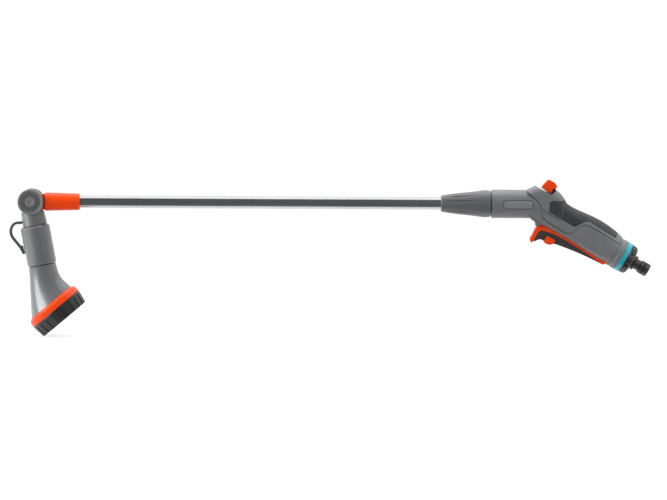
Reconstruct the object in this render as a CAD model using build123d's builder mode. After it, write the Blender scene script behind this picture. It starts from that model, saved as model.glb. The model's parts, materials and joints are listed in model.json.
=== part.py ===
from build123d import *
import math
import os

# Watering wand: hose nipple and pistol grip, straight lance tube, tilting shower head.
# Millimetres, +Z up, +Y away from the side with the badge. The origin is the middle of
# the hose nipple's open end. The grip runs up and forward from it to the elbow, and the
# lance runs on from the elbow along -X to the hub that the head tilts on.

GRIP_ANGLE = 30  # fall of the grip below the lance
HEAD_ANGLE = 79  # fall of the folded head below the lance
ROSE_TILT = 29  # turn of the rose towards the handle, from the head's own axis
GRIP_LENGTH = 169  # elbow to nipple end
LANCE_LENGTH = 638.4  # elbow to hub

TUBE_R = 8.0
TUBE_WALL = 1.0
BARREL_R = 18.1
BARREL_FRONT = -53.4
SPIGOT_R = 10.9  # threaded stub that the clamping nut turns on
GRIP_END = 119.4
END_R = 20.0
WALL = 4.6
PAD_DEPTH = 2.2
RUNNING = 0.05  # radial clearance of a turning or sliding fit
THROUGH = 30  # more than the half width of anything that is cut or trimmed right across
SEAM = 0.9  # width of the shadow gap along the seam of the handle shells
SEAM_DEPTH = 1.4

DOME_R = 33.1
DOME_HALF_WIDTH = 18.0
PIVOT = (10.4, -9.4)  # flow lever axis, from the elbow in the lance's side plane
DRUM_R = 4.6
CHAMBER_R = 8.0
CHAMBER_HALF = 7.0
DRUM_SEAL_AT = 5.2  # seals of the drum, off its middle
LEVER_HALF = 6.6

TRIGGER_PIVOT = (112, -15)  # in the grip's side plane
TRIGGER_HALF = 9.0
SLOT_HALF = 9.7
PIN_HALF = 10.8
PIN_R = 2.0
VALVE_AT = 80  # valve stem, along the grip
STEM_R = 2.0
PIPE_R = 5.5  # tubes in the grip
PIPE_BORE = 4.0

HUB_R = 16.3
HUB_HALF = 13.0
KNUCKLE_HALF = 7.1
KNUCKLE_R = 14.0
AXLE_R = 6.0
CAP_THICKNESS = 2.6
DISH_DEPTH = 1.2
DIMPLE_R = 8.0
TILT_SEAL_AT = 4.6  # seals of the tilt axle, off the hub's middle
NECK_SHIFT = -1.8  # axis of the neck and sleeve, off the hub's axis
SLEEVE_START = 31
SLEEVE_END = 81
SLEEVE_R = 18.8
SEAL_BAND = 0.9  # thickness of the dark rings at both ends of the sleeve
ROSE_BACK = (131, 1.5)  # middle of the orange ring's back face, in the neck's side plane
PLATE_R = 30.0
ROSE_R = PLATE_R + 7.2
RING_R = PLATE_R + 7.4
RING_BORE = PLATE_R + 1.7

NIPPLE_R = 8.5
NIPPLE_GROOVE_R = 7.0
NIPPLE_BORE = 4.5


def side_plane(origin, angle):
    """Plane seen from -Y, with its local x turned up from +X by the angle."""
    turn = math.radians(angle)
    return Plane(origin=origin, x_dir=(math.cos(turn), 0, math.sin(turn)), z_dir=(0, -1, 0))


def cross_plane(side, distance):
    """Plane square to a side plane's local x, with the side plane's local y as its own."""
    return Plane(
        origin=side.from_local_coords(Vector(distance, 0, 0)),
        x_dir=(0, 1, 0),
        z_dir=side.x_dir,
    )


def upright_plane(side, distance, height):
    """Plane whose normal is a side plane's local y, at a distance and a height in it."""
    return Plane(
        origin=side.from_local_coords(Vector(distance, height, 0)),
        x_dir=side.x_dir,
        z_dir=side.y_dir,
    )


def axis_of(side):
    """Turning axis along a side plane's local x."""
    return Axis(side.origin, side.x_dir)


def outline(plane, *points):
    """Closed straight-sided face."""
    with BuildSketch(plane) as sketch:
        with BuildLine():
            Polyline(*points, close=True)
        make_face()
    return sketch.sketch


def soft_outline(plane, radius, *points):
    """Closed face with every corner rounded."""
    with BuildSketch(plane) as sketch:
        with BuildLine():
            FilletPolyline(*points, radius=radius, close=True)
        make_face()
    return sketch.sketch


def disc(plane, radius, centre=(0, 0), bore=0):
    """Round face, with a round hole if it has a bore."""
    with BuildSketch(plane) as sketch:
        with Locations(centre):
            Circle(radius)
            if bore:
                Circle(bore, mode=Mode.SUBTRACT)
    return sketch.sketch


def band(start, end, outer, inner):
    """Corners of a turned tube's half section."""
    return ((start, inner), (end, inner), (end, outer), (start, outer))


def polar(centre, radius, degrees):
    """Point at a radius and an angle from a centre."""
    turn = math.radians(degrees)
    return (centre[0] + radius * math.cos(turn), centre[1] + radius * math.sin(turn))


def finish(part, name):
    """Label a piece and write it to its own file."""
    part.label = name
    export_step(part, f"parts/{name}.step")


SLOPE = math.radians(GRIP_ANGLE)
ELBOW = (-GRIP_LENGTH * math.cos(SLOPE), 0, GRIP_LENGTH * math.sin(SLOPE))
HUB_CENTRE = (ELBOW[0] - LANCE_LENGTH, 0, ELBOW[2])
LANCE = side_plane(ELBOW, 0)
GRIP = side_plane(ELBOW, -GRIP_ANGLE)
HEAD = side_plane(HUB_CENTRE, -HEAD_ANGLE)
NECK = side_plane(HEAD.from_local_coords(Vector(0, NECK_SHIFT, 0)), -HEAD_ANGLE)
ROSE = side_plane(NECK.from_local_coords(Vector(*ROSE_BACK, 0)), ROSE_TILT - HEAD_ANGLE)
HUB_X = -LANCE_LENGTH  # hub in the lance's side plane
PIVOT_GRIP = GRIP.to_local_coords(LANCE.from_local_coords(Vector(*PIVOT, 0)))
PIVOT_GRIP = (PIVOT_GRIP.X, PIVOT_GRIP.Y)

# Grip sections, square to its axis: distance, top, bottom, half width, and the radii of
# the upper and lower corners.
GRIP_SECTIONS = (
    (3, 17.0, -17.0, 15.4, 13, 14),
    (22, 24.5, -17.2, 16.6, 13, 8.5),
    (40, 21.9, -16.7, 16.4, 13, 8.5),
    (60, 23.0, -16.4, 16.6, 13, 8.5),
    (86, 25.1, -17.6, 17.6, 15, 9.5),
    (106, 23.5, -18.9, 18.7, 17.5, 14),
    (GRIP_END, 20.3, -19.6, 19.5, 19.4, 19.4),
)


def grip_section(distance, top, bottom, half_width, upper_r, lower_r, inset):
    """Round-cornered section of the grip, drawn in by an inset."""
    with BuildSketch(cross_plane(GRIP, distance)) as sketch:
        with Locations((0, (top + bottom) / 2)):
            Rectangle(2 * (half_width - inset), top - bottom - 2 * inset)
        fillet(sketch.vertices().sort_by(Axis.Y)[:2], radius=lower_r - inset)
        fillet(sketch.vertices().sort_by(Axis.Y)[-2:], radius=upper_r - inset)
    return sketch.sketch


def handle_form(inset, domed=True):
    """Outer form of the barrel and grip, with or without the dome, drawn in by an inset."""
    below_axes = ((-60, 0), (0, 0), (60, -60 * math.tan(SLOPE)), (60, -70), (-60, -70))
    with BuildPart() as form:
        if domed:
            dome = disc(LANCE, DOME_R - inset, PIVOT)
            extrude(dome, amount=DOME_HALF_WIDTH - inset, both=True)
            fillet(form.edges().filter_by(GeomType.CIRCLE), radius=11.5 - inset)
            extrude(outline(LANCE, *below_axes), amount=THROUGH, both=True, mode=Mode.SUBTRACT)
        loft([grip_section(*section, inset) for section in GRIP_SECTIONS])
        barrel = band(BARREL_FRONT + inset, 11, BARREL_R - inset, 0)
        revolve(outline(LANCE, *barrel), axis=axis_of(LANCE))
    return form.part


# Seam between the lower body and the saddle cover, in the grip's side plane.
SEAM_LINE = (
    (-15.9, 9.8),
    (-2.1, 7.6),
    (9.2, 3.2),
    (12.3, -1.2),
    (14.2, -5.6),
    (17.3, -8.7),
    (27.9, -10),
    (54, -11),
    (59.5, -6.5),
    (65.4, 6.9),
    (71.7, 12.2),
    (90.4, 12.8),
    (GRIP_END + 10, 11.2),
)


def above_seam(lift):
    """Face that covers everything above the seam, raised by a lift."""
    edge = [(u, v + lift) for u, v in SEAM_LINE]
    closing = [(GRIP_END + 10, 45), (-30, 45), (-30, 17.5 + lift)]
    return soft_outline(GRIP, 4, *edge, *closing)


def pad_face(growth):
    """Side outline of the soft pad, grown all round."""
    with BuildSketch(GRIP) as sketch:
        with BuildLine():
            FilletPolyline(
                (33, 40),
                (33, 24.9),
                (17.0, 15.1),
                (15.6, 11.3),
                (21.7, 1.2),
                (58.6, 1.4),
                (66.2, 13.6),
                (71.5, 16.6),
                (110.6, 15.3),
                (110.6, 40),
                radius=1.6,
                close=True,
            )
        make_face()
        if growth:
            offset(amount=growth)
    return sketch.sketch


def make_handle_shells():
    """Lower body, saddle cover and soft pad, cut from one form along the seam."""
    outer = handle_form(0)
    under_pad = handle_form(PAD_DEPTH)
    with BuildPart() as cavity:
        add(handle_form(WALL))
        # Roof left under the cheeks, and room for the regulator and its fork.
        roof = outline(GRIP, (-30, 18.2), (18.6, 18.2), (18.6, 45), (-30, 45))
        extrude(roof, amount=THROUGH, both=True, mode=Mode.SUBTRACT)
        extrude(disc(LANCE, CHAMBER_R + 0.4, PIVOT), amount=10.2, both=True)
    slot_arc = [polar(PIVOT_GRIP, 44, a) for a in (139, 119, 99, 79, 58)]
    slot_floor = [polar(PIVOT_GRIP, 18, a) for a in (58, 139)]

    with BuildPart() as soft_grip:
        add(outer)
        add(under_pad, mode=Mode.SUBTRACT)
        extrude(pad_face(0), amount=THROUGH, both=True, mode=Mode.INTERSECT)
    finish(soft_grip.part, "soft_grip")

    with BuildPart() as saddle_cover:
        add(outer)
        extrude(above_seam(0), amount=THROUGH, both=True, mode=Mode.INTERSECT)
        add(cavity.part, mode=Mode.SUBTRACT)
        # Bed for the pad.
        with BuildPart(mode=Mode.PRIVATE) as bed:
            extrude(pad_face(0.15), amount=THROUGH, both=True)
            add(under_pad, mode=Mode.SUBTRACT)
        add(bed.part, mode=Mode.SUBTRACT)
        # Cheeks cut down in front of the lever, and the slot that the lever swings in.
        step = outline(GRIP, (-30, 20.3), (13.4, 21.9), (16.2, 30.4), (16.2, 45), (-30, 45))
        extrude(step, amount=THROUGH, both=True, mode=Mode.SUBTRACT)
        slot = outline(GRIP, *slot_arc, *slot_floor)
        extrude(slot, amount=LEVER_HALF + 0.6, both=True, mode=Mode.SUBTRACT)
    finish(saddle_cover.part, "saddle_cover")

    with BuildPart() as main_body:
        add(handle_form(0, domed=False))
        # Short skirt in front of the trigger.
        skirt = ((-2, -12), (7, -18.4), (12.2, -18.3), (14.6, -20.3), (16.2, -22.8))
        extrude(outline(GRIP, *skirt, (19.5, -18), (26, -15.8), (26, -8)), amount=12.6, both=True)
        extrude(above_seam(0), amount=THROUGH, both=True, mode=Mode.SUBTRACT)
        # Shadow gap along the seam, with a lip left behind it.
        with BuildPart(mode=Mode.PRIVATE) as shadow_gap:
            extrude(above_seam(-SEAM), amount=THROUGH, both=True)
            add(handle_form(SEAM_DEPTH), mode=Mode.SUBTRACT)
        add(shadow_gap.part, mode=Mode.SUBTRACT)
        add(cavity.part, mode=Mode.SUBTRACT)
        # Threaded spigot that the tube slides into.
        revolve(outline(LANCE, *band(-90, -46, SPIGOT_R, TUBE_R)), axis=axis_of(LANCE))
        bore = outline(LANCE, *band(-91, -40, TUBE_R + RUNNING, 0))
        revolve(bore, axis=axis_of(LANCE), mode=Mode.SUBTRACT)
        # Slot under the grip for the trigger, holes for its pin, bed for the badge.
        slot = outline(GRIP, (15.6, -30), (15.6, -6), (119, -6), (119, -30))
        extrude(slot, amount=SLOT_HALF, both=True, mode=Mode.SUBTRACT)
        pin_holes = disc(GRIP, PIN_R, TRIGGER_PIVOT)
        extrude(pin_holes, amount=PIN_HALF, both=True, mode=Mode.SUBTRACT)
        add(badge_solid(0.7, BARREL_R + 1, 16.6), mode=Mode.SUBTRACT)
    finish(main_body.part, "main_body")


def badge_solid(growth, outer, inner):
    """Curved blank pill on the barrel's side, between two radii."""
    with BuildPart() as pill:
        with BuildSketch(LANCE):
            with Locations((-20.2, -0.2)):
                SlotOverall(38 + 2 * growth, 10 + 2 * growth)
        extrude(amount=THROUGH)
        revolve(
            outline(LANCE, *band(-50, 10, outer, inner)),
            axis=axis_of(LANCE),
            mode=Mode.INTERSECT,
        )
    return pill.part


def make_badge():
    finish(badge_solid(0, BARREL_R - 0.2, 16.6), "badge_plate")


def make_lance():
    """Tube, its orange socket at the hub, and the clamping nut at the barrel."""
    with BuildPart() as lance_tube:
        tube = band(HUB_X + 40, -24, TUBE_R, TUBE_R - TUBE_WALL)
        revolve(outline(LANCE, *tube), axis=axis_of(LANCE))
    finish(lance_tube.part, "lance_tube")

    socket_start = HUB_X + 17.8
    socket_end = HUB_X + 61.8
    with BuildPart() as lance_socket:
        shape = ((socket_start, 0), (socket_end, 0), (socket_end, 10.5), (socket_start, 11.8))
        revolve(outline(LANCE, *shape), axis=axis_of(LANCE))
        fillet(lance_socket.edges().filter_by(GeomType.CIRCLE), radius=0.9)
        # Low moulding ridges at mid height on both sides.
        ridge = outline(
            LANCE,
            (socket_start + 4, -0.9),
            (socket_end - 3, -0.8),
            (socket_end - 3, 0.8),
            (socket_start + 4, 0.9),
        )
        extrude(ridge, amount=11.3, both=True)
        core = band(HUB_X + 17, HUB_X + 40, 9, 0)
        revolve(outline(LANCE, *core), axis=axis_of(LANCE), mode=Mode.SUBTRACT)
        bore = band(HUB_X + 40, socket_end + 1, TUBE_R + RUNNING, 0)
        revolve(outline(LANCE, *bore), axis=axis_of(LANCE), mode=Mode.SUBTRACT)
        seal_groove = band(HUB_X + 46, HUB_X + 48.4, 9.6, 0)
        revolve(outline(LANCE, *seal_groove), axis=axis_of(LANCE), mode=Mode.SUBTRACT)
    finish(lance_socket.part, "lance_socket")

    with BuildPart() as hub_knuckle:
        # Round knuckle between the head's two cheeks, flat tongue, plug inside the socket.
        extrude(disc(LANCE, KNUCKLE_R, (HUB_X, 0)), amount=KNUCKLE_HALF, both=True)
        tongue = outline(LANCE, *band(HUB_X, HUB_X + 17.7, 10, -10))
        extrude(tongue, amount=KNUCKLE_HALF, both=True)
        revolve(outline(LANCE, *band(HUB_X + 17.6, HUB_X + 39.9, 9, 0)), axis=axis_of(LANCE))
        axle_hole = disc(LANCE, AXLE_R + RUNNING, (HUB_X, 0))
        extrude(axle_hole, amount=THROUGH, both=True, mode=Mode.SUBTRACT)
        for side in (-1, 1):
            groove = disc(LANCE.offset(side * TILT_SEAL_AT), 7.9, (HUB_X, 0))
            extrude(groove, amount=0.9, both=True, mode=Mode.SUBTRACT)
        waterway = band(HUB_X + 5, HUB_X + 41, 4.5, 0)
        revolve(outline(LANCE, *waterway), axis=axis_of(LANCE), mode=Mode.SUBTRACT)
    finish(hub_knuckle.part, "hub_knuckle")

    with BuildPart() as socket_seal:
        ring = band(HUB_X + 46.2, HUB_X + 48.2, 9.5, TUBE_R + RUNNING)
        revolve(outline(LANCE, *ring), axis=axis_of(LANCE))
        fillet(socket_seal.edges().filter_by(GeomType.CIRCLE), radius=0.5)
    finish(socket_seal.part, "socket_seal")

    nut_bore = SPIGOT_R + 0.3
    with BuildPart() as collar_nut:
        with BuildSketch(LANCE):
            with BuildLine():
                Polyline((-117.7, 9), (-117.7, TUBE_R + 0.3), (-100, TUBE_R + 0.3), (-93, nut_bore))
                Polyline((-93, nut_bore), (-54.5, nut_bore), (-54.5, 16.3), (-56, 16.9))
                Spline((-56, 16.9), (-62.4, 17.3), (-72.4, 16), (-92.4, 13.7), (-115.5, 10.8))
                ThreePointArc((-115.5, 10.8), (-117.1, 10.2), (-117.7, 9))
            make_face()
        revolve(axis=axis_of(LANCE))
        # Flutes that fade out at both ends.
        for turn in range(12):
            with BuildPart(mode=Mode.PRIVATE) as flute:
                with BuildSketch(LANCE):
                    with BuildLine():
                        ThreePointArc((-114, 11.1), (-92.4, 12.7), (-69, 16.4))
                        Polyline((-69, 16.4), (-69, 30), (-114, 30), (-114, 11.1))
                    make_face()
                extrude(amount=1.9, both=True)
                fillet(flute.edges().filter_by(Axis.Y, reverse=True).sort_by(Axis.Z)[:2], 1.7)
            add(flute.part.rotate(axis_of(LANCE), 15 + 30 * turn), mode=Mode.SUBTRACT)
    finish(collar_nut.part, "collar_nut")

    with BuildPart() as tube_collet:
        shape = ((-99.4, TUBE_R + 0.02), (-92.6, TUBE_R + 0.02), (-92.6, 10.9), (-99.4, 8.3))
        revolve(outline(LANCE, *shape), axis=axis_of(LANCE))
        slit = outline(LANCE, (-100, 0), (-94, 0), (-94, 20), (-100, 20))
        for turn in range(6):
            with BuildPart(mode=Mode.PRIVATE) as slot:
                extrude(slit, amount=0.5, both=True)
            add(slot.part.rotate(axis_of(LANCE), 60 * turn), mode=Mode.SUBTRACT)
    finish(tube_collet.part, "tube_collet")

    with BuildPart() as tube_seal:
        revolve(outline(LANCE, *band(-92.3, -90.2, 10.6, TUBE_R + 0.02)), axis=axis_of(LANCE))
        fillet(tube_seal.edges().filter_by(GeomType.CIRCLE), radius=0.6)
    finish(tube_seal.part, "tube_seal")


def make_regulator():
    """Rotary flow valve in the dome: chamber, drum, its seals and the thumb lever."""
    with BuildPart() as regulator_chamber:
        extrude(disc(LANCE, CHAMBER_R, PIVOT), amount=CHAMBER_HALF, both=True)
        revolve(outline(LANCE, *band(-32, 3.2, 10.4, 0)), axis=axis_of(LANCE))
        revolve(outline(GRIP, *band(16, 32, 6.6, 0)), axis=axis_of(GRIP))
        revolve(
            outline(LANCE, *band(-33, -24, TUBE_R + RUNNING, 0)),
            axis=axis_of(LANCE),
            mode=Mode.SUBTRACT,
        )
        revolve(
            outline(LANCE, *band(-25, 0, 5.5, 0)),
            axis=axis_of(LANCE),
            mode=Mode.SUBTRACT,
        )
        inlet = side_plane(ELBOW, math.degrees(math.atan2(PIVOT[1], PIVOT[0])))
        revolve(outline(inlet, *band(-3, 12, 3, 0)), axis=axis_of(inlet), mode=Mode.SUBTRACT)
        revolve(
            outline(GRIP, *band(26, 33, PIPE_R + RUNNING, 0)),
            axis=axis_of(GRIP),
            mode=Mode.SUBTRACT,
        )
        revolve(outline(GRIP, *band(14, 27, 3, 0)), axis=axis_of(GRIP), mode=Mode.SUBTRACT)
        hole = disc(LANCE, DRUM_R + RUNNING, PIVOT)
        extrude(hole, amount=THROUGH, both=True, mode=Mode.SUBTRACT)
        for side in (-1, 1):
            groove = disc(LANCE.offset(side * DRUM_SEAL_AT), 6.2, PIVOT)
            extrude(groove, amount=0.8, both=True, mode=Mode.SUBTRACT)
    finish(regulator_chamber.part, "regulator_chamber")

    with BuildPart() as regulator_drum:
        extrude(disc(LANCE, DRUM_R, PIVOT), amount=CHAMBER_HALF + 0.2, both=True)
        extrude(disc(LANCE, 3.4, PIVOT), amount=9.8, both=True)
        flow = Plane(
            origin=GRIP.from_local_coords(Vector(*PIVOT_GRIP, 0)),
            z_dir=GRIP.x_dir,
        )
        extrude(disc(flow, 3), amount=6, both=True, mode=Mode.SUBTRACT)
    finish(regulator_drum.part, "regulator_drum")

    for side, name in ((1, "near"), (-1, "far")):
        with BuildPart() as drum_seal:
            ring = disc(LANCE.offset(side * DRUM_SEAL_AT), 6.1, PIVOT, bore=DRUM_R + RUNNING)
            extrude(ring, amount=0.7, both=True)
        finish(drum_seal.part, f"drum_seal_{name}")

    with BuildPart() as flow_lever:
        # Thumb piece that stands out of the dome.
        head = soft_outline(
            LANCE,
            1.1,
            (9.4, 21.4),
            (12.8, 25.6),
            (17.2, 30.4),
            (20.2, 31.2),
            (27.4, 27.0),
            (29.8, 22.6),
            (28.4, 20.0),
            (23.9, 19.4),
            (23.0, 13.6),
            (17.2, 15.6),
        )
        extrude(head, amount=LEVER_HALF, both=True)
        top_edges = flow_lever.edges().filter_by(Axis.Y, reverse=True).group_by(Axis.Y)
        fillet(top_edges[0] + top_edges[-1], radius=0.9)
    finish(flow_lever.part, "flow_lever")

    with BuildPart() as lever_core:
        # Dark heel behind the thumb piece, neck, and the fork that straddles the chamber.
        heel = ((17.0, 15.0), (23.0, 13.0), (27.2, 13.6), (28.6, 17.6), (27.6, 19.6), (22, 22))
        extrude(outline(LANCE, *heel), amount=LEVER_HALF - 0.3, both=True)
        neck = [polar(PIVOT, r, a) for r, a in ((14.5, 92), (26, 81), (26, 63), (14.5, 60))]
        extrude(outline(LANCE, *neck), amount=LEVER_HALF - 0.6, both=True)
        bridge = [polar(PIVOT, r, a) for r, a in ((14.5, 92), (18.5, 92), (18.5, 60), (14.5, 60))]
        extrude(outline(LANCE, *bridge), amount=9.6, both=True)
        leg = [polar(PIVOT, r, a) for r, a in ((4, 150), (16, 92), (16, 60), (4, 0))]
        for side in (-1, 1):
            plate = LANCE.offset(side * 8.5)
            extrude(outline(plate, *leg), amount=1.1, both=True)
            extrude(disc(plate, 6.6, PIVOT), amount=1.1, both=True)
        extrude(disc(LANCE, 3.4, PIVOT), amount=THROUGH, both=True, mode=Mode.SUBTRACT)
        add(flow_lever.part, mode=Mode.SUBTRACT)
    finish(lever_core.part, "lever_core")


def make_waterway():
    """Tubes and the trigger valve inside the grip."""
    for name, start, end in (("water_tube", 26.2, 69), ("inlet_tube", 91, 131)):
        with BuildPart() as pipe:
            revolve(outline(GRIP, *band(start, end, PIPE_R, PIPE_BORE)), axis=axis_of(GRIP))
        finish(pipe.part, name)

    foot = upright_plane(GRIP, VALVE_AT, -10.4)
    with BuildPart() as valve_body:
        extrude(disc(foot, 8), amount=24)
        revolve(outline(GRIP, *band(66, 94, 7.2, 0)), axis=axis_of(GRIP))
        revolve(
            outline(GRIP, *band(65, 69, PIPE_R + RUNNING, 0)),
            axis=axis_of(GRIP),
            mode=Mode.SUBTRACT,
        )
        revolve(
            outline(GRIP, *band(91, 95, PIPE_R + RUNNING, 0)),
            axis=axis_of(GRIP),
            mode=Mode.SUBTRACT,
        )
        extrude(disc(foot, STEM_R + RUNNING), amount=12, mode=Mode.SUBTRACT)
        extrude(disc(foot.offset(10.2), 5.4), amount=20, mode=Mode.SUBTRACT)
        inlet_way = cross_plane(GRIP, 76)
        extrude(disc(inlet_way, 3, (0, 5)), amount=20, mode=Mode.SUBTRACT)
        extrude(disc(inlet_way, 1.4, (0, -2.4)), amount=-12, mode=Mode.SUBTRACT)
    finish(valve_body.part, "valve_body")

    with BuildPart() as valve_cap:
        extrude(disc(foot.offset(22.2), 5.4), amount=1.8)
        extrude(disc(foot.offset(24), 7.4), amount=1.6)
        chamfer(valve_cap.faces().sort_by(GRIP_UP)[-1].edges(), length=0.5)
    finish(valve_cap.part, "valve_cap")

    with BuildPart() as valve_stem:
        extrude(disc(foot.offset(-4), STEM_R), amount=19.5)
        extrude(disc(foot.offset(11.6), 4.8), amount=2)
        fillet(valve_stem.faces().sort_by(GRIP_UP)[0].edges(), radius=0.8)
    finish(valve_stem.part, "valve_stem")

    with BuildPart() as valve_washer:
        extrude(disc(foot.offset(10.4), 4.6, bore=STEM_R), amount=1.2)
    finish(valve_washer.part, "valve_washer")

    with BuildPart() as valve_spring:
        turns = [foot.offset(13.6 + 0.9 + 1.55 * turn) for turn in range(4)]
        for coil in turns:
            extrude(disc(coil, 4.4, bore=3.3), amount=0.45, both=True)
        for number, coil in enumerate(turns[:-1]):
            riser = disc(coil, 0.5, (3.85 * (-1) ** number, 0))
            extrude(riser, amount=1.55)
    finish(valve_spring.part, "valve_spring")


def make_trigger():
    """Trigger frame with its finger insert, lock button and pivot pin."""
    lower_edge = ((24.6, -23.6), (34.9, -20.9), (62.9, -19.3), (92, -20.4), (114.5, -21.9))
    with BuildPart() as trigger_frame:
        with BuildSketch(GRIP):
            with BuildLine():
                Polyline((17.5, -16.9), (17.5, -29.8), (18.3, -36.9))
                Spline((18.3, -36.9), (19.7, -42.4), (21.6, -43.4), (22.9, -41.2))
                Line((22.9, -41.2), (22.9, -27.5))
                Line((22.9, -27.5), lower_edge[0])
                Spline(*lower_edge)
                ThreePointArc(lower_edge[-1], (117.3, -16.6), (112, -11.2))
                Polyline((112, -11.2), (106, -13.4), (62, -15.6), (30, -16.9), (17.5, -16.9))
            make_face()
        extrude(amount=TRIGGER_HALF, both=True)
        # Hollow behind the front wall, and relief round the valve stem.
        hollow = outline(GRIP, (19.6, -10), (19.6, -19), (60, -17.6), (60, -10))
        extrude(hollow, amount=TRIGGER_HALF - 2, both=True, mode=Mode.SUBTRACT)
        pin_hole = disc(GRIP, PIN_R + RUNNING, TRIGGER_PIVOT)
        extrude(pin_hole, amount=THROUGH, both=True, mode=Mode.SUBTRACT)
    finish(trigger_frame.part, "trigger_frame")

    button = ((34.2, -26), (46.8, -25.6), (46.8, -31.2), (42.9, -34.6), (37.2, -35.6), (34.6, -34.2))
    with BuildPart() as trigger_grip:
        with BuildSketch(GRIP):
            with BuildLine():
                Polyline((22.9, -40.6), (22.9, -27.5), lower_edge[0])
                Spline(*lower_edge)
                Line(lower_edge[-1], (112, -22.3))
                Spline((112, -22.3), (82.9, -24.6), (52.9, -29.2), (31.5, -34.0))
                Spline((31.5, -34.0), (27.4, -36.2), (24.9, -39.6), (22.9, -40.6))
            make_face()
        extrude(amount=TRIGGER_HALF - 0.7, both=True)
        hole = soft_outline(GRIP, 1.2, *button)
        with BuildPart(mode=Mode.PRIVATE) as passage:
            extrude(hole, amount=THROUGH, both=True)
            offset(passage.part, amount=0.2, kind=Kind.INTERSECTION, mode=Mode.REPLACE)
        add(passage.part, mode=Mode.SUBTRACT)
    finish(trigger_grip.part, "trigger_grip")

    with BuildPart() as lock_button:
        extrude(soft_outline(GRIP, 1.2, *button), amount=TRIGGER_HALF + 0.8, both=True)
    finish(lock_button.part, "lock_button")

    with BuildPart() as trigger_pin:
        extrude(disc(GRIP, PIN_R, TRIGGER_PIVOT), amount=PIN_HALF, both=True)
    finish(trigger_pin.part, "trigger_pin")


def make_inlet():
    """Rear collar, coloured ring, ribbed cap and the standard hose nipple."""
    with BuildPart() as rear_collar:
        shape = (
            (119.8, 15),
            (129.1, 15),
            (129.1, 19.9),
            (124.2, 20.0),
            (123.4, 19.3),
            (121, 19.2),
            (119.8, 19.6),
        )
        revolve(outline(GRIP, *shape), axis=axis_of(GRIP))
    finish(rear_collar.part, "rear_collar")

    with BuildPart() as end_ring:
        revolve(outline(GRIP, *band(129.4, 135.3, END_R, 12)), axis=axis_of(GRIP))
        rims = end_ring.edges().filter_by(GeomType.CIRCLE).group_by(SortBy.RADIUS)[-1]
        fillet(rims, radius=0.6)
    finish(end_ring.part, "end_ring")

    with BuildPart() as end_cap:
        with BuildSketch(GRIP):
            with BuildLine():
                Polyline((135.4, 9.05), (135.4, 19.4), (141, 18.6))
                Spline((141, 18.6), (143.6, 17.4), (145.2, 14), (146.4, 9.05))
                Line((146.4, 9.05), (135.4, 9.05))
            make_face()
        revolve(axis=axis_of(GRIP))
        scallop = cross_plane(GRIP, 137.4)
        for turn in range(8):
            centre = polar((0, 0), 26, 22.5 + 45 * turn)
            extrude(disc(scallop, 8.2, centre), amount=20, mode=Mode.SUBTRACT)
    finish(end_cap.part, "end_cap")

    with BuildPart() as hose_nipple:
        shape = (
            (126, NIPPLE_BORE),
            (126, 12),
            (135.4, 12),
            (135.4, 9),
            (147, 9),
            (147.6, 9.5),
            (149.6, 9.5),
            (150.4, 8.6),
            (151.2, NIPPLE_GROOVE_R),
            (156, NIPPLE_GROOVE_R),
            (157, NIPPLE_R),
            (160.4, NIPPLE_R),
            (160.4, NIPPLE_GROOVE_R),
            (162.9, NIPPLE_GROOVE_R),
            (162.9, NIPPLE_R),
            (168, NIPPLE_R),
            (GRIP_LENGTH, NIPPLE_R - 1),
            (GRIP_LENGTH, NIPPLE_BORE),
        )
        revolve(outline(GRIP, *shape), axis=axis_of(GRIP))
        socket = band(125, 131, PIPE_R + RUNNING, 0)
        revolve(outline(GRIP, *socket), axis=axis_of(GRIP), mode=Mode.SUBTRACT)
    finish(hose_nipple.part, "hose_nipple")

    with BuildPart() as nipple_o_ring:
        revolve(disc(GRIP, 0.8, (161.65, NIPPLE_GROOVE_R + 0.82)), axis=axis_of(GRIP))
    finish(nipple_o_ring.part, "nipple_o_ring")

    with BuildPart() as inlet_filter:
        shape = ((154, 0), (155, 2.4), (167.4, 4.3), (167.4, 3.5), (156, 1.8), (155.2, 0))
        revolve(outline(GRIP, *shape), axis=axis_of(GRIP))
    finish(inlet_filter.part, "inlet_filter")


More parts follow.
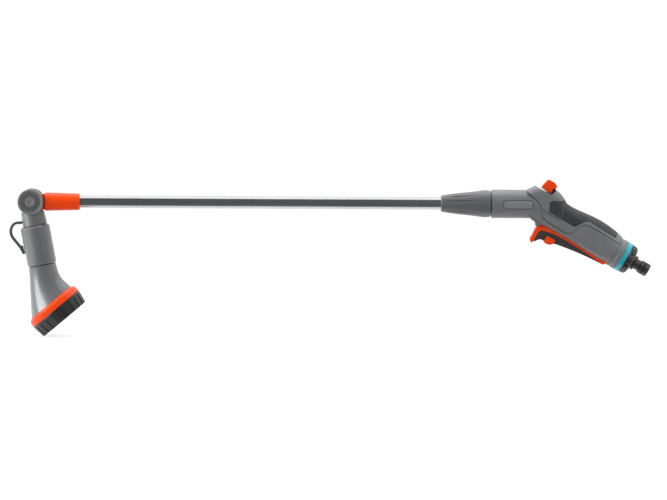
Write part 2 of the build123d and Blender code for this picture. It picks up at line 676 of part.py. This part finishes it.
def make_hub():
    """Neck with two cheeks, hollow axle, seals and the two serrated caps."""
    with BuildPart() as head_neck:
        extrude(disc(HEAD, HUB_R), amount=HUB_HALF, both=True)
        with BuildSketch(cross_plane(NECK, 6)) as waist:
            with Locations((0, 0.8)):
                Ellipse(HUB_HALF, 14.4)
        with BuildSketch(cross_plane(NECK, SLEEVE_START - SEAL_BAND)) as shoulder:
            with Locations((0, 0.8)):
                Ellipse(15.7, 15.7)
        loft([waist.sketch, shoulder.sketch])
        revolve(outline(NECK, *band(28, 46, 12.6, 0)), axis=axis_of(NECK))
        extrude(disc(HEAD, 19.4), amount=KNUCKLE_HALF + 0.3, both=True, mode=Mode.SUBTRACT)
        extrude(disc(HEAD, AXLE_R), amount=THROUGH, both=True, mode=Mode.SUBTRACT)
        revolve(outline(NECK, *band(12, 47, 5, 0)), axis=axis_of(NECK), mode=Mode.SUBTRACT)
        for side in (-1, 1):
            cap_seat = disc(HEAD.offset(side * HUB_HALF), HUB_R + 0.3)
            extrude(cap_seat, amount=side * 4, mode=Mode.SUBTRACT)
        # Nothing past the cheeks may reach the socket while the head turns.
        clear = outline(HEAD, (-2, HUB_R - 0.5), (22, HUB_R - 0.5), (22, 30), (-2, 30))
        extrude(clear, amount=THROUGH, both=True, mode=Mode.SUBTRACT)
    finish(head_neck.part, "head_neck")

    with BuildPart() as hanging_hook:
        with BuildSketch(NECK) as wire:
            with BuildLine():
                Line((23.8, -12), (23.8, -18))
                Spline((23.8, -18), (25.2, -27), (33.6, -31.3), (46, -27.4), (63.6, -20.5))
            trace(line_width=3.3)
        extrude(wire.sketch, amount=2.6, both=True)
        barb = soft_outline(NECK, 0.8, (53, -19.6), (59.5, -19.2), (59.5, -23), (52.5, -25.2))
        extrude(barb, amount=1.8, both=True)
        add(head_neck.part, mode=Mode.SUBTRACT)
        sleeve = band(SLEEVE_START - 1, SLEEVE_END, SLEEVE_R + 0.3, 0)
        revolve(outline(NECK, *sleeve), axis=axis_of(NECK), mode=Mode.SUBTRACT)
    finish(hanging_hook.part, "hanging_hook")

    with BuildPart() as tilt_axle:
        extrude(disc(HEAD, AXLE_R, bore=3.6), amount=HUB_HALF, both=True)
        extrude(disc(cross_plane(HEAD, 0), 2.6), amount=10, mode=Mode.SUBTRACT)
    finish(tilt_axle.part, "tilt_axle")

    for side, name in ((1, "near"), (-1, "far")):
        with BuildPart() as tilt_seal:
            ring = disc(HEAD.offset(side * TILT_SEAL_AT), 7.8, bore=AXLE_R + RUNNING)
            extrude(ring, amount=0.8, both=True)
        finish(tilt_seal.part, f"tilt_seal_{name}")

        # Dished cap: raised rim, ring of radial grooves, boss with a dimple.
        half_section = Plane(origin=HUB_CENTRE, x_dir=(1, 0, 0), z_dir=(0, 0, -side))
        rim = HUB_HALF + CAP_THICKNESS
        dish = rim - DISH_DEPTH
        with BuildPart() as tilt_cap:
            extrude(disc(HEAD.offset(side * HUB_HALF), HUB_R), amount=side * CAP_THICKNESS)
            outer_face = tilt_cap.faces().sort_by(Axis.Y)[0 if side > 0 else -1]
            fillet(outer_face.edges(), radius=1)
            hollow = ((14.8, rim + 0.5), (14.3, rim), (13.2, dish), (6.6, dish), (5.6, rim + 0.5))
            revolve(
                outline(half_section, *hollow),
                axis=Axis(HUB_CENTRE, (0, 1, 0)),
                mode=Mode.SUBTRACT,
            )
            with BuildSketch(HEAD.offset(side * dish)) as grooves:
                with PolarLocations(9.9, 32):
                    Rectangle(5.4, 1.1)
            extrude(grooves.sketch, amount=-side * 0.8, mode=Mode.SUBTRACT)
            dimple_out = rim + DIMPLE_R - 0.8
            with Locations((HUB_CENTRE[0], -side * dimple_out, HUB_CENTRE[2])):
                Sphere(DIMPLE_R, mode=Mode.SUBTRACT)
        finish(tilt_cap.part, f"tilt_cap_{name}")


def make_head():
    """Sleeve, hanging hook and bell behind the rose."""
    with BuildPart() as head_sleeve:
        shape = (
            (SLEEVE_START, 12.7),
            (SLEEVE_END, 12.7),
            (SLEEVE_END, SLEEVE_R - 1.2),
            (SLEEVE_END - 1, SLEEVE_R - 0.2),
            (SLEEVE_START + 2.2, SLEEVE_R),
            (SLEEVE_START, SLEEVE_R - 1.7),
        )
        revolve(outline(NECK, *shape), axis=axis_of(NECK))
    finish(head_sleeve.part, "head_sleeve")

    for start, name in ((SLEEVE_START - SEAL_BAND, "upper"), (SLEEVE_END, "lower")):
        with BuildPart() as sleeve_ring:
            ring = band(start, start + SEAL_BAND, 14.9 if name == "upper" else 16, 12.7)
            revolve(outline(NECK, *ring), axis=axis_of(NECK))
        finish(sleeve_ring.part, f"sleeve_ring_{name}")

    # Bell sections: place on the neck's side plane, turn, radius.
    sections = (
        (SLEEVE_END + SEAL_BAND, 0, 0, 17.7),
        (99.4, 0, 1, 19.8),
        (114.3, 0.7, 15.5, 24.6),
        (*ROSE_BACK, ROSE_TILT, PLATE_R + 2.1),
    )
    with BuildPart() as bell_shell:
        for thickness, mode in ((0, Mode.ADD), (2.4, Mode.SUBTRACT)):
            rings = []
            for x, y, turn, radius in sections:
                centre = NECK.from_local_coords(Vector(x, y, 0))
                tilted = side_plane(centre, turn - HEAD_ANGLE)
                rings.append(disc(cross_plane(tilted, 0), radius - thickness))
            loft(rings, mode=mode)
        revolve(outline(NECK, *band(70, 83, 12.5, 10)), axis=axis_of(NECK))
        revolve(outline(NECK, *band(SLEEVE_END + SEAL_BAND, 83.5, 16, 10)), axis=axis_of(NECK))
        revolve(outline(ROSE, *band(-0.6, 7, RING_BORE - 0.2, PLATE_R - 2.4)), axis=axis_of(ROSE))
    finish(bell_shell.part, "bell_shell")


def make_rose():
    """Orange ring, ribbed bezel, perforated plate with nozzles, and what is behind it."""
    with BuildPart() as rose_ring:
        shape = (
            (0.1, RING_BORE),
            (10.1, RING_BORE),
            (10.1, RING_R - 0.6),
            (9.2, RING_R),
            (3.4, RING_R - 0.9),
            (0.1, RING_R - 4.4),
        )
        revolve(outline(ROSE, *shape), axis=axis_of(ROSE))
    finish(rose_ring.part, "rose_ring")

    seat_r = PLATE_R + RUNNING
    with BuildPart() as rose_bezel:
        with BuildSketch(ROSE):
            with BuildLine():
                Polyline((10.2, seat_r), (10.2, ROSE_R - 0.4), (11, ROSE_R), (25.4, ROSE_R - 2.4))
                ThreePointArc((25.4, ROSE_R - 2.4), (27, ROSE_R - 3.1), (27.6, ROSE_R - 4.5))
                Polyline((27.6, ROSE_R - 4.5), (27.6, seat_r), (10.2, seat_r))
            make_face()
        revolve(axis=axis_of(ROSE))
        # Shallow finger notches all round, open at the front.
        notch = outline(ROSE, (13.6, ROSE_R - 1.3), (28.3, ROSE_R - 4), (28.3, 45), (13.6, 45))
        for turn in range(20):
            with BuildPart(mode=Mode.PRIVATE) as cut:
                revolve(notch, axis=axis_of(ROSE), revolution_arc=8)
            add(cut.part.rotate(axis_of(ROSE), 18 * turn), mode=Mode.SUBTRACT)
    finish(rose_bezel.part, "rose_bezel")

    with BuildPart() as rose_seal:
        revolve(outline(ROSE, *band(7.05, 9.6, PLATE_R + 0.8, PLATE_R - 2)), axis=axis_of(ROSE))
    finish(rose_seal.part, "rose_seal")

    with BuildPart() as rose_diffuser:
        extrude(disc(cross_plane(ROSE, 12), PLATE_R), amount=1.6)
        for radius, count in ((9, 6), (20, 12)):
            with BuildSketch(cross_plane(ROSE, 12)) as holes:
                with PolarLocations(radius, count):
                    Circle(2.6)
            extrude(holes.sketch, amount=4, mode=Mode.SUBTRACT)
    finish(rose_diffuser.part, "rose_diffuser")

    hole_rings = ((7, 6), (13, 12), (19, 18), (25, 24))
    with BuildPart() as rose_plate:
        extrude(disc(cross_plane(ROSE, 23.6), PLATE_R), amount=2.2)
        extrude(disc(cross_plane(ROSE, 19), PLATE_R, bore=PLATE_R - 1.6), amount=4.6)
        for radius, count in hole_rings:
            with BuildSketch(cross_plane(ROSE, 23)) as holes:
                with PolarLocations(radius, count):
                    Circle(1.5)
            extrude(holes.sketch, amount=4, mode=Mode.SUBTRACT)
        extrude(disc(cross_plane(ROSE, 23), 1.6), amount=4, mode=Mode.SUBTRACT)
    finish(rose_plate.part, "rose_plate")

    with BuildPart() as rose_nozzles:
        extrude(disc(cross_plane(ROSE, 22.4), 27.5, bore=4), amount=1.2)
        for radius, count in hole_rings:
            with BuildSketch(cross_plane(ROSE, 23.6)) as studs:
                with PolarLocations(radius, count):
                    Circle(1.5)
            extrude(studs.sketch, amount=3.4, taper=4)
        for radius, count in hole_rings:
            with BuildSketch(cross_plane(ROSE, 22)) as jets:
                with PolarLocations(radius, count):
                    Circle(0.6)
            extrude(jets.sketch, amount=6, mode=Mode.SUBTRACT)
    finish(rose_nozzles.part, "rose_nozzles")

    with BuildPart() as rose_screw:
        extrude(disc(cross_plane(ROSE, 13.6), 1.6), amount=12.2)
        extrude(disc(cross_plane(ROSE, 25.8), 3), amount=1.4)
        with BuildSketch(cross_plane(ROSE, 27.2)) as recess:
            Rectangle(3.6, 0.8)
            Rectangle(0.8, 3.6)
        extrude(recess.sketch, amount=-0.9, mode=Mode.SUBTRACT)
    finish(rose_screw.part, "rose_screw")


GRIP_UP = Axis(GRIP.origin, GRIP.y_dir)

os.makedirs("parts", exist_ok=True)
make_handle_shells()
make_badge()
make_lance()
make_regulator()
make_waterway()
make_trigger()
make_inlet()
make_hub()
make_head()
make_rose()
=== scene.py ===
import json
import math

import bpy
from mathutils import Matrix, Vector


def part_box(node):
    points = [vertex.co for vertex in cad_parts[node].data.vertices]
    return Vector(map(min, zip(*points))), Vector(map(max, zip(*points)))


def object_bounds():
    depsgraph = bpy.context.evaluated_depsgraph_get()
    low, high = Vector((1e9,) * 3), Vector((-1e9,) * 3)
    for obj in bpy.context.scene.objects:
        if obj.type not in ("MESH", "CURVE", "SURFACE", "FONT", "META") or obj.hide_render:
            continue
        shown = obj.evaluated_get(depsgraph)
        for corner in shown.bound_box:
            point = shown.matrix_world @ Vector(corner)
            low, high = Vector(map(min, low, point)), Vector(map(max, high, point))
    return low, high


# Watering wand: looks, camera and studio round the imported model. Metres, in the model's
# own frame: the lance lies along X, the badge faces -Y, +Z is up.

MM = 0.001

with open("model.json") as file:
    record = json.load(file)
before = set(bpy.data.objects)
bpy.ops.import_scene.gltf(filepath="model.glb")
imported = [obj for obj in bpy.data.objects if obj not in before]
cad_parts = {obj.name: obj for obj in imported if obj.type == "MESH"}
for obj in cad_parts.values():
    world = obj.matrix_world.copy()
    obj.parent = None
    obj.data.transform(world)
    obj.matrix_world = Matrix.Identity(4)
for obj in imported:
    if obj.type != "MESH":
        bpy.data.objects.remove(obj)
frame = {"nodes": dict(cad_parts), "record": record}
cad_low, cad_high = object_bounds()
MIDDLE = (cad_low + cad_high) / 2


# ---------------------------------------------------------------- material building

BEVEL_SAMPLES = 4
GROOVE_SAMPLES = 6
NOISE_LOW, NOISE_HIGH = 0.3, 0.7    # where nearly all of a noise texture's values lie


class Finish:
    """One material under construction: a Principled shader and short calls for its nodes."""

    def __init__(self, name):
        self.material = bpy.data.materials.new(name)
        self.material.use_nodes = True
        self.tree = self.material.node_tree
        self.shader = self.tree.nodes["Principled BSDF"]
        self.place = self.tree.nodes.new("ShaderNodeTexCoord").outputs["Object"]

    def node(self, kind, inputs=(), **settings):
        made = self.tree.nodes.new(kind)
        for key, value in settings.items():
            setattr(made, key, value)
        for key, value in dict(inputs).items():
            self.feed(made.inputs[key], value)
        return made

    def feed(self, socket, value):
        """Link an output to a socket, or set the socket to a constant."""
        if isinstance(value, bpy.types.NodeSocket):
            self.tree.links.new(value, socket)
        else:
            socket.default_value = value

    def set(self, **values):
        """Feed the shader's sockets: Base_Color stands for its socket Base Color."""
        for key, value in values.items():
            self.feed(self.shader.inputs[key.replace("_", " ")], value)

    def noise(self, size, detail=2.0, stretch=(1, 1, 1)):
        """Smooth noise whose features are about that size in metres, 0 to 1."""
        mapping = self.node("ShaderNodeMapping", {"Vector": self.place, "Scale": stretch})
        inputs = {"Vector": mapping.outputs[0], "Scale": 1 / size, "Detail": detail}
        return self.node("ShaderNodeTexNoise", inputs).outputs["Fac"]

    def pebbles(self, size):
        """Rounded pebbles packed side by side, high in the middle of each."""
        inputs = {"Vector": self.place, "Scale": 1 / size}
        cells = self.node("ShaderNodeTexVoronoi", inputs, feature="F1")
        return self.remap(cells.outputs["Distance"], 0.0, 0.7, 1.0, 0.0)

    def remap(self, value, low, high, to_low, to_high):
        inputs = {0: value, 1: low, 2: high, 3: to_low, 4: to_high}
        return self.node("ShaderNodeMapRange", inputs).outputs[0]

    def spread(self, noise, to_low, to_high):
        """Noise stretched to run from one value to the other."""
        return self.remap(noise, NOISE_LOW, NOISE_HIGH, to_low, to_high)

    def math(self, operation, a, b):
        return self.node("ShaderNodeMath", {0: a, 1: b}, operation=operation).outputs[0]

    def mix(self, amount, colour, other):
        made = self.node("ShaderNodeMix", {0: amount}, data_type="RGBA")
        sockets = {s.name: s for s in made.inputs if s.type == "RGBA"}
        self.feed(sockets["A"], colour)
        self.feed(sockets["B"], other)
        return next(s for s in made.outputs if s.type == "RGBA")

    def scale_colour(self, colour, factor):
        inputs = {0: colour, "Scale": factor}
        return self.node("ShaderNodeVectorMath", inputs, operation="SCALE").outputs["Vector"]

    def soft_normal(self, radius):
        """Normal that rounds sharp edges off over a small radius."""
        return self.node("ShaderNodeBevel", {"Radius": radius}, samples=BEVEL_SAMPLES).outputs[0]

    def edge_mask(self, rounded):
        """1 on sharp edges and 0 on open faces."""
        true_normal = self.node("ShaderNodeNewGeometry").outputs["Normal"]
        inputs = {0: rounded, 1: true_normal}
        turned = self.node("ShaderNodeVectorMath", inputs, operation="DOT_PRODUCT")
        return self.remap(turned.outputs["Value"], 0.97, 0.75, 0.0, 1.0)

    def open_air(self, reach):
        """1 on open faces, falling to 0 at the bottom of grooves narrower than the reach."""
        inputs = {"Distance": reach}
        made = self.node(
            "ShaderNodeAmbientOcclusion", inputs, samples=GROOVE_SAMPLES, only_local=True)
        return self.remap(made.outputs["AO"], 0.35, 0.85, 0.0, 1.0)

    def bump(self, height, depth, normal):
        inputs = {"Height": height, "Distance": depth, "Normal": normal, "Strength": 1.0}
        return self.node("ShaderNodeBump", inputs).outputs[0]


def shade(colour, factor):
    return (*(min(1.0, c * factor) for c in colour), 1.0)


# ---------------------------------------------------------------- moulded plastic

# Sizes of the slow colour drift, the flecks, the scuffs on edges and the haze in the gloss.
DRIFT_SIZE = 28 * MM
FLECK_SIZE = 1.3 * MM
SCUFF_SIZE = 2.2 * MM
HAZE_SIZE = 9 * MM
DRIFT_SHADES = (0.93, 1.06)
# Colour factor at the bottom of grooves, where painted shade darkens moulded plastic.
GROOVE_SHADE = 0.25
# A rubbed edge goes this far towards a grey at least this light, and is then lightened.
RUBBED_SHARE, RUBBED_GREY, RUBBED_SHADE = 0.35, 0.35, 1.25


def moulded_plastic(name, colour, rough, grain=0.35 * MM, depth=0.012 * MM, wear=0.5,
                    rounding=0.35 * MM, dirt=0.6, reach=2.2 * MM, speckle=0.03, **shader):
    """Spark-eroded moulded plastic: fine grain, slow colour drift, paler rubbed edges, and
    painted shade that darkens its grooves and recesses."""
    made = Finish(name)
    rounded = made.soft_normal(rounding)
    drift = made.spread(made.noise(DRIFT_SIZE, 3.0), 0.0, 1.0)
    dull, bright = DRIFT_SHADES
    body = made.mix(drift, shade(colour, dull), shade(colour, bright))
    flecks = made.spread(made.noise(FLECK_SIZE, 2.0), 1 - speckle, 1 + speckle)
    body = made.scale_colour(body, flecks)

    scuffs = made.remap(made.noise(SCUFF_SIZE, 4.0), 0.42, 0.66, 0.25, 1.0)
    rubbed = made.math("MULTIPLY", made.edge_mask(rounded), scuffs)
    rubbed = made.math("MULTIPLY", rubbed, wear)
    grey = max(RUBBED_GREY, sum(colour) / 3)
    pale = tuple((1 - RUBBED_SHARE) * c + RUBBED_SHARE * grey for c in colour)

    # Painted shade: the colour darkens towards GROOVE_SHADE at the bottom of narrow grooves and
    # recesses.
    unshaded_share = made.remap(made.open_air(reach), 0.0, 1.0, 1.0 - dirt, 1.0)
    groove_shaded = made.mix(unshaded_share, shade(colour, GROOVE_SHADE), body)
    made.set(Base_Color=made.mix(rubbed, groove_shaded, shade(pale, RUBBED_SHADE)))
    haze = made.noise(HAZE_SIZE, 4.0)
    made.set(Roughness=made.spread(haze, rough - 0.05, rough + 0.06))
    speck = made.noise(grain, 1.0)
    made.set(Normal=made.bump(speck, depth, rounded))
    made.set(**shader)
    return made.material


PLASTICS = {
    "grey_plastic": dict(colour=(0.113, 0.115, 0.118), rough=0.42, depth=0.016 * MM),
    "head_grey": dict(
        colour=(0.099, 0.101, 0.104), rough=0.27, grain=0.8 * MM, depth=0.025 * MM,
        speckle=0.12, Coat_Weight=0.3, Coat_Roughness=0.18),
    "cap_grey": dict(
        # Stronger painted shade in the cap's narrow tooth grooves.
        colour=(0.125, 0.127, 0.130), rough=0.36, wear=0.7, dirt=0.85, reach=1.1 * MM),
    "nut_grey": dict(colour=(0.085, 0.086, 0.088), rough=0.34, depth=0.014 * MM),
    "badge": dict(colour=(0.155, 0.157, 0.16), rough=0.3, depth=0.004 * MM, wear=0.3),
    "orange_plastic": dict(
        colour=(0.65, 0.043, 0.0005), rough=0.3, depth=0.006 * MM, wear=0.22,
        Coat_Weight=0.03, Coat_Roughness=0.15, Specular_IOR_Level=0.2),
    "trigger_dark": dict(
        colour=(0.022, 0.022, 0.024), rough=0.5, grain=0.5 * MM, depth=0.03 * MM, wear=0.25),
    "teal_plastic": dict(
        colour=(0.002, 0.27, 0.33), rough=0.22, depth=0.005 * MM, wear=0.25,
        Coat_Weight=0.3, Coat_Roughness=0.12),
    "black_plastic": dict(
        colour=(0.011, 0.0113, 0.012), rough=0.36, depth=0.010 * MM, wear=0.18),
    "nipple_plastic": dict(
        colour=(0.022, 0.022, 0.023), rough=0.24, depth=0.006 * MM, wear=0.25),
    "hook_plastic": dict(
        colour=(0.045, 0.047, 0.048), rough=0.45, wear=0.3, rounding=0.9 * MM),
    "rose_face": dict(colour=(0.020, 0.020, 0.022), rough=0.4, wear=0.25),
    "inner_plastic": dict(colour=(0.55, 0.55, 0.52), rough=0.4, wear=0.1, dirt=0.0),
}


# ---------------------------------------------------------------- rubber

BLOOM_SIZE = 14 * MM
MOTTLE_SIZE = 2.4 * MM
RUBBER_ROUNDING = 0.5 * MM
FINE_RELIEF = 0.35    # of the pebbles' height
BLOOM_SHADES = (0.88, 1.22)
PEBBLE_HIGHLIGHT_SHADE = 1.6


def soft_rubber(name, colour, rough, grain, depth, mottling=0.1):
    """Moulded elastomer: packed pebbles with finer noise over them, a painted highlight on each
    pebble's crest, and a dusty bloom.
    """
    made = Finish(name)
    rounded = made.soft_normal(RUBBER_ROUNDING)
    fine = made.noise(grain / 3, 2.0)
    pebbles = made.pebbles(grain)
    relief = made.math("ADD", pebbles, made.math("MULTIPLY", fine, FINE_RELIEF))
    bloom = made.remap(made.noise(BLOOM_SIZE, 5.0), 0.35, 0.72, 0.0, 1.0)
    clean, dusty = BLOOM_SHADES
    body = made.mix(bloom, shade(colour, clean), shade(colour, dusty))
    mottle = made.spread(made.noise(MOTTLE_SIZE, 2.0), 1 - mottling, 1 + mottling)
    body = made.scale_colour(body, mottle)
    # Painted highlight: the crest of each pebble is coloured lighter, as if it caught the light.
    pebble_highlight = made.remap(pebbles, 0.2, 0.9, 0.0, 0.6)
    made.set(Base_Color=made.mix(pebble_highlight, body, shade(colour, PEBBLE_HIGHLIGHT_SHADE)))
    made.set(Roughness=made.remap(bloom, 0.0, 1.0, rough - 0.04, rough + 0.08))
    made.set(Normal=made.bump(relief, depth, rounded))
    made.set(Specular_IOR_Level=0.4)
    return made.material


RUBBERS = {
    "soft_pad": dict(
        colour=(0.024, 0.025, 0.026), rough=0.52, grain=1.3 * MM, depth=0.25 * MM,
        mottling=0.4),
    "nozzle_rubber": dict(
        colour=(0.10, 0.10, 0.105), rough=0.6, grain=0.5 * MM, depth=0.012 * MM),
    "seal_rubber": dict(
        colour=(0.010, 0.010, 0.010), rough=0.45, grain=0.4 * MM, depth=0.008 * MM),
}


# ---------------------------------------------------------------- metal

def tube_aluminium(name):
    """Drawn and anodised tube: fine lines along X, faint clouding, small handling marks."""
    made = Finish(name)
    lines = made.noise(0.35 * MM, 2.0, stretch=(0.004, 1, 1))
    clouds = made.noise(22 * MM, 4.0, stretch=(0.35, 1, 1))
    marks = made.noise(1.3 * MM, 3.0, stretch=(0.25, 1, 1))
    marks = made.remap(marks, 0.62, 0.72, 0.0, 1.0)
    tone = made.mix(clouds, (0.42, 0.43, 0.45, 1), (0.51, 0.52, 0.54, 1))
    marked = (0.36, 0.37, 0.39, 1)
    made.set(Base_Color=made.mix(made.math("MULTIPLY", marks, 0.25), tone, marked))
    streaks = made.spread(lines, 0.16, 0.27)
    made.set(Roughness=made.math("ADD", streaks, made.math("MULTIPLY", marks, 0.04)))
    made.set(Normal=made.bump(lines, 0.004 * MM, made.soft_normal(0.2 * MM)))
    made.set(Metallic=1.0)
    return made.material


def steel(name):
    """Turned steel with fine lines."""
    made = Finish(name)
    lines = made.noise(0.25 * MM, 2.0, stretch=(1, 0.1, 1))
    made.set(Base_Color=made.mix(lines, (0.46, 0.45, 0.44, 1), (0.62, 0.61, 0.60, 1)))
    made.set(Roughness=made.spread(lines, 0.22, 0.36))
    made.set(Normal=made.bump(lines, 0.003 * MM, made.soft_normal(0.15 * MM)))
    made.set(Metallic=1.0)
    return made.material


def make_finish(slot):
    name = slot + "_finish"
    if slot in PLASTICS:
        return moulded_plastic(name, **PLASTICS[slot])
    if slot in RUBBERS:
        return soft_rubber(name, **RUBBERS[slot])
    return {"tube_aluminium": tube_aluminium, "steel": steel}[slot](name)


def dress_nodes():
    """Give every CAD node the finish of its material slot."""
    finishes = {}
    for subpart in frame["record"]["subparts"]:
        slot = subpart["material_slot"]
        if slot not in finishes:
            finishes[slot] = make_finish(slot)
        node = frame["nodes"][subpart["node"]]
        node.data.materials.clear()
        node.data.materials.append(finishes[slot])


# ---------------------------------------------------------------- studio

FLOOR_SIZE = 160.0
FLOOR_GLOW = 0.72
WORLD_STRENGTH = 1.02
HEAD_INSET = 0.06    # from the object's left end to the middle of its head

# Section of the card in front of the object, as (y, z), from the floor up.
CARD_FOOT = (-0.075, cad_low.z + 0.003)
CARD_SECTION = (CARD_FOOT, (-0.18, 0.02), (-0.20, 0.28), (-0.10, 0.42))
CARD_PAST_LEFT, CARD_PAST_RIGHT = 0.06, 0.12


def make_sheet(name, points, faces):
    mesh = bpy.data.meshes.new(name)
    mesh.from_pydata(points, [], faces)
    sheet = bpy.data.objects.new(name, mesh)
    bpy.context.scene.collection.objects.link(sheet)
    return sheet


def make_floor():
    """Plain pale floor under the lowest point of the object, evenly lit from within."""
    half = FLOOR_SIZE / 2
    corners = [(-half, -half), (half, -half), (half, half), (-half, half)]
    points = [(MIDDLE.x + x, MIDDLE.y + y, cad_low.z) for x, y in corners]
    floor = make_sheet("floor", points, [(0, 1, 2, 3)])
    made = Finish("floor_finish")
    made.set(Base_Color=(0.28, 0.28, 0.28, 1), Roughness=0.9, Specular_IOR_Level=0.1)
    made.set(Emission_Color=(1, 1, 1, 1), Emission_Strength=FLOOR_GLOW)
    floor.data.materials.append(made.material)


def make_front_card(name, brightness, unseen_by):
    """Grey card along the front of the object, as a studio has on the camera's side."""
    ends = (cad_low.x - CARD_PAST_LEFT, cad_high.x + CARD_PAST_RIGHT)
    points = [(x, y, z) for y, z in CARD_SECTION for x in ends]
    faces = [(2 * i, 2 * i + 1, 2 * i + 3, 2 * i + 2) for i in range(len(CARD_SECTION) - 1)]
    card = make_sheet(name, points, faces)
    made = Finish(name + "_finish")
    made.set(Base_Color=(0.03, 0.03, 0.03, 1), Roughness=1.0)
    made.set(Emission_Color=(0.97, 0.97, 1.0, 1), Emission_Strength=brightness)
    card.data.materials.append(made.material)
    for ray in ("camera", "shadow", "transmission", unseen_by):
        setattr(card, "visible_" + ray, False)


def make_softbox(name, place, aim, width, height, radiance, mirrored=True):
    """Rectangular studio light of an even brightness, turned to what it lights."""
    data = bpy.data.lights.new(name, "AREA")
    data.shape = "RECTANGLE"
    data.size = width
    data.size_y = height
    data.energy = radiance * math.pi * width * height
    box = bpy.data.objects.new(name, data)
    box.location = place
    box.visible_camera = False
    box.visible_glossy = mirrored
    box.rotation_euler = (Vector(aim) - Vector(place)).to_track_quat("-Z", "Y").to_euler()
    bpy.context.scene.collection.objects.link(box)


def make_world():
    world = bpy.data.worlds.new("studio")
    world.use_nodes = True
    background = world.node_tree.nodes["Background"]
    background.inputs["Color"].default_value = (1, 1, 1, 1)
    background.inputs["Strength"].default_value = WORLD_STRENGTH
    bpy.context.scene.world = world


def make_studio():
    """White surroundings, lights from above and both sides, the floor, and a card in front.

    The card is two in one place: metal and gloss mirror the dark one, and matt faces are lit
    by the other."""
    make_world()
    head = (cad_low.x + HEAD_INSET, 0, 0)
    make_softbox("softbox_above", (MIDDLE.x, 0.35, 1.25), MIDDLE, 2.4, 1.3, 0.85)
    make_softbox("wash_above", (MIDDLE.x, 0.3, 1.2), MIDDLE, 2.0, 0.8, 4.9, mirrored=False)
    make_softbox("softbox_left", (head[0] - 1.5, -0.4, 0.5), head, 1.1, 1.0, 9.5)
    make_softbox("softbox_right", (head[0] + 1.55, -1.2, 0.6), head, 1.3, 0.8, 4.4)
    make_floor()
    make_front_card("dark_card", 0.084, "diffuse")
    make_front_card("fill_card", 0.58, "glossy")
    view = bpy.context.scene.view_settings
    view.view_transform = "Standard"
    view.look = "None"


# ---------------------------------------------------------------- camera

CAMERA_DISTANCE = 4.0
CAMERA_ABOVE_LANCE = 0.2
LENS_MM = 170
SENSOR_MM = 36
ROLL_DEG = 0.28
FAR_CLIP = 200
# The point in the middle of the picture, from the middle of the lance's axis.
AIM_RIGHT, AIM_DOWN = 0.0041, 0.0598


def make_camera():
    """Long lens, a little above the lance and turned down to it."""
    tube_low, tube_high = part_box("lance_tube")
    lance_height = (tube_low.z + tube_high.z) / 2
    aim = Vector((MIDDLE.x + AIM_RIGHT, 0, lance_height - AIM_DOWN))
    place = Vector((aim.x, -CAMERA_DISTANCE, lance_height + CAMERA_ABOVE_LANCE))
    data = bpy.data.cameras.new("camera")
    data.sensor_width = SENSOR_MM
    data.lens = LENS_MM
    data.clip_end = FAR_CLIP
    camera = bpy.data.objects.new("camera", data)
    turn = (aim - place).to_track_quat("-Z", "Y").to_matrix().to_4x4()
    roll = Matrix.Rotation(math.radians(ROLL_DEG), 4, "Z")
    camera.matrix_world = Matrix.Translation(place) @ turn @ roll
    bpy.context.scene.collection.objects.link(camera)
    bpy.context.scene.camera = camera


make_camera()
dress_nodes()
make_studio()
